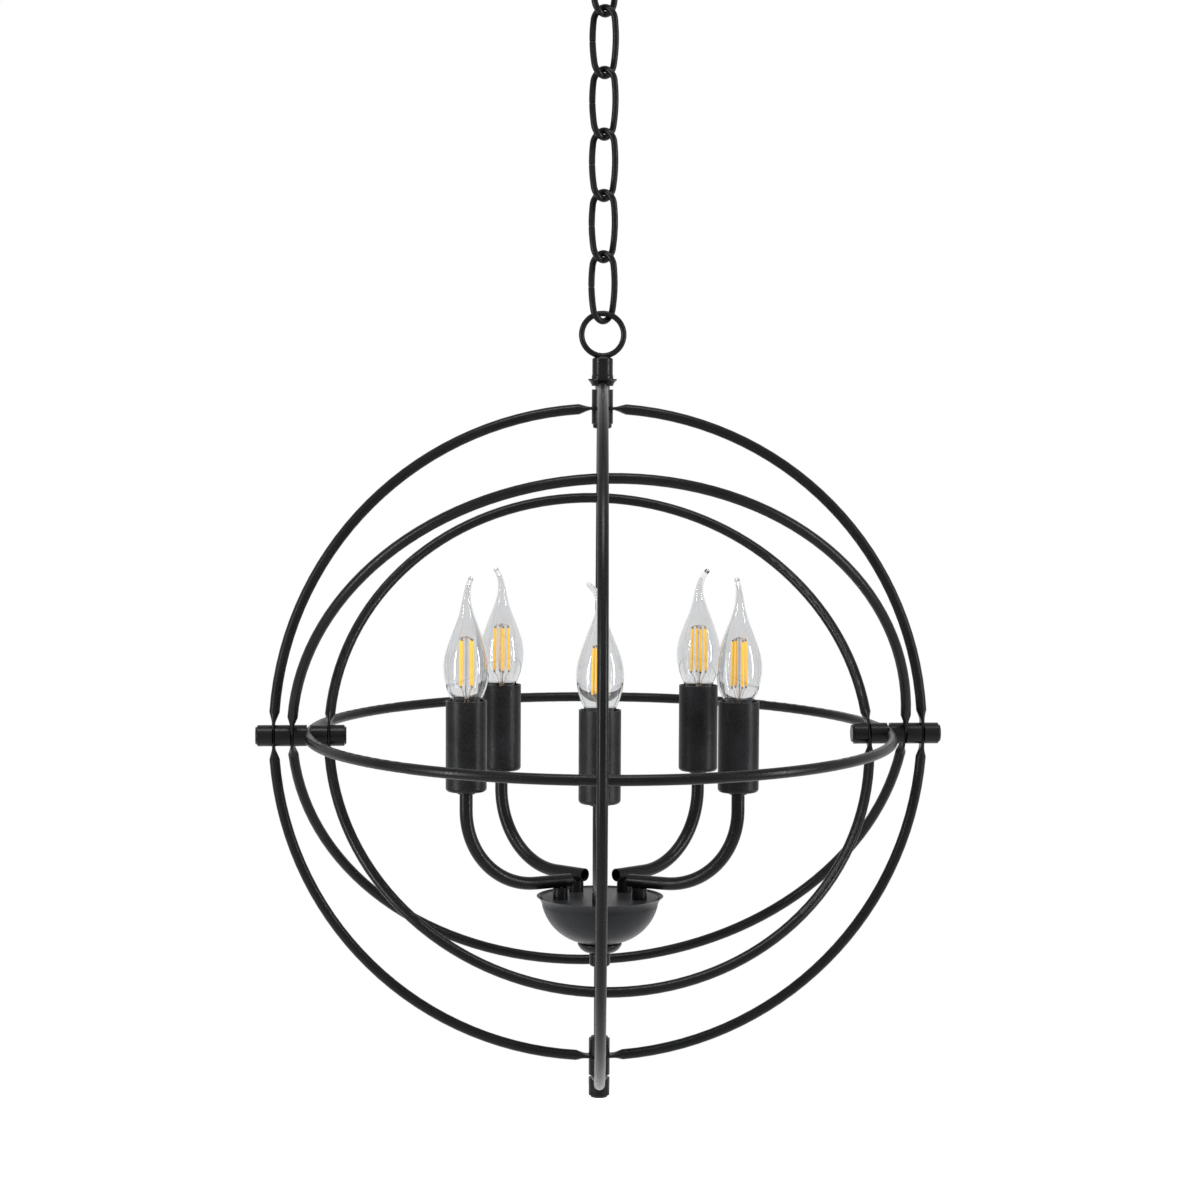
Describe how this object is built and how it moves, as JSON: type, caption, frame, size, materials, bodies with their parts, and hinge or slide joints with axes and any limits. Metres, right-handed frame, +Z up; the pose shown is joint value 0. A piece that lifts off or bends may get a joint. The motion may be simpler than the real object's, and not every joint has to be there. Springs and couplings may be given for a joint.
{
  "type": "orb chandelier",
  "caption": "Hanging chandelier: candle lamps on bent arms from a bowl, inside nested tube rings that turn on side and top pivots, hung on a chain from a ceiling canopy.",
  "frame": {"origin": "centre of the canopy's ceiling face, between the two ceiling screws", "axes": "+Z up, out of the canopy towards the ceiling; X along the side barrels that the rings turn on; Y front to back"},
  "size_m": [0.5286, 0.5388, 0.9588],
  "materials": {
    "black_metal": "satin black powder coat, finely textured",
    "bowl_metal": "satin black powder coat, a shade lighter",
    "sleeve_metal": "sand-textured black powder coat",
    "black_steel": "blackened steel rods, nuts and screws",
    "zinc_steel": "zinc-plated steel",
    "terminal_plastic": "moulded off-white plastic",
    "holder_plastic": "moulded dark heat-resistant plastic",
    "bulb_glass": "clear blown glass",
    "base_metal": "bare rolled aluminium",
    "filament": "yellow phosphor filament sticks on fine support wires"
  },
  "bodies": {
    "ceiling_fitting": {"canopy": "black_metal", "mounting_bar": "zinc_steel", "threaded_nipple": "zinc_steel", "lock_nuts": "zinc_steel", "terminal_block": "terminal_plastic", "ceiling_loop": "black_metal"},
    "chain_link_1": {"chain_link_1": "black_metal"},
    "chain_link_2": {"chain_link_2": "black_metal"},
    "chain_link_3": {"chain_link_3": "black_metal"},
    "chain_link_4": {"chain_link_4": "black_metal"},
    "chain_link_5": {"chain_link_5": "black_metal"},
    "chain_link_6": {"chain_link_6": "black_metal"},
    "orb_frame": {"hanging_loop": "black_metal", "top_flange": "black_metal", "top_cap": "black_metal", "ring_spacers": "black_metal", "ring_a": "black_metal", "side_end_caps": "black_metal", "side_inner_caps": "black_metal", "side_spacers": "black_metal", "bottom_cap": "black_metal", "bottom_end_cap": "black_metal", "lamp_stem": "black_metal", "stem_collar": "black_metal", "finial_cup": "black_metal", "arm_posts": "black_metal", "sleeve_washers": "black_metal", "bowl": "bowl_metal", "cover_plate": "bowl_metal", "top_stud": "black_steel", "side_pivot_rods": "black_steel", "centre_rod": "black_steel", "rod_nuts": "black_steel", "arm_screws": "black_steel", "arm_1": "black_metal", "arm_2": "black_metal", "arm_3": "black_metal", "arm_4": "black_metal", "arm_5": "black_metal", "candle_sleeves": "sleeve_metal", "lampholders": "holder_plastic", "bulb_glass_1": "bulb_glass", "bulb_base_1": "base_metal", "bulb_filament_1": "filament", "bulb_glass_2": "bulb_glass", "bulb_base_2": "base_metal", "bulb_filament_2": "filament", "bulb_glass_3": "bulb_glass", "bulb_base_3": "base_metal", "bulb_filament_3": "filament", "bulb_glass_4": "bulb_glass", "bulb_base_4": "base_metal", "bulb_filament_4": "filament", "bulb_glass_5": "bulb_glass", "bulb_base_5": "base_metal", "bulb_filament_5": "filament"},
    "ring_b": {"ring_b": "black_metal"},
    "ring_c": {"ring_c": "black_metal"},
    "ring_d": {"ring_d": "black_metal"},
    "ring_e": {"ring_e": "black_metal"}
  },
  "joints": [
    {"name": "ceiling_loop_swing", "type": "hinge", "parent": "ceiling_fitting", "child": "chain_link_1", "pos_m": [0, 0, -0.0818], "axis": [1, 0, 0], "range_deg": [-15, 15]},
    {"name": "chain_swing_1", "type": "hinge", "parent": "chain_link_1", "child": "chain_link_2", "pos_m": [0, 0, -0.12225], "axis": [0.7071, -0.7071, 0], "range_deg": [-20, 20]},
    {"name": "chain_swing_2", "type": "hinge", "parent": "chain_link_2", "child": "chain_link_3", "pos_m": [0, 0, -0.17385], "axis": [0.7071, 0.7071, 0], "range_deg": [-20, 20]},
    {"name": "chain_swing_3", "type": "hinge", "parent": "chain_link_3", "child": "chain_link_4", "pos_m": [0, 0, -0.21495], "axis": [0.7071, -0.7071, 0], "range_deg": [-20, 20]},
    {"name": "chain_swing_4", "type": "hinge", "parent": "chain_link_4", "child": "chain_link_5", "pos_m": [0, 0, -0.26655], "axis": [0.7071, 0.7071, 0], "range_deg": [-20, 20]},
    {"name": "chain_swing_5", "type": "hinge", "parent": "chain_link_5", "child": "chain_link_6", "pos_m": [0, 0, -0.30765], "axis": [0.7071, -0.7071, 0], "range_deg": [-20, 20]},
    {"name": "hanging_loop_swing", "type": "hinge", "parent": "chain_link_6", "child": "orb_frame", "pos_m": [0, 0, -0.35335], "axis": [1, 0, 0], "range_deg": [-15, 15]},
    {"name": "ring_b_turn", "type": "hinge", "parent": "orb_frame", "child": "ring_b", "pos_m": [0, 0, -0.67615], "axis": [1, 0, 0], "range_deg": [-28, 143.8]},
    {"name": "ring_c_turn", "type": "hinge", "parent": "orb_frame", "child": "ring_c", "pos_m": [0, 0, -0.67615], "axis": [1, 0, 0], "range_deg": [-145.8, 27.8]},
    {"name": "ring_d_turn", "type": "hinge", "parent": "orb_frame", "child": "ring_d", "pos_m": [0, 0, -0.67615], "axis": [1, 0, 0], "range_deg": [-88, 85.8]},
    {"name": "ring_e_turn", "type": "hinge", "parent": "orb_frame", "child": "ring_e", "pos_m": [0, 0, -0.67615], "axis": [0, 0, 1], "range_deg": [-82, 91.8]}
  ]
}
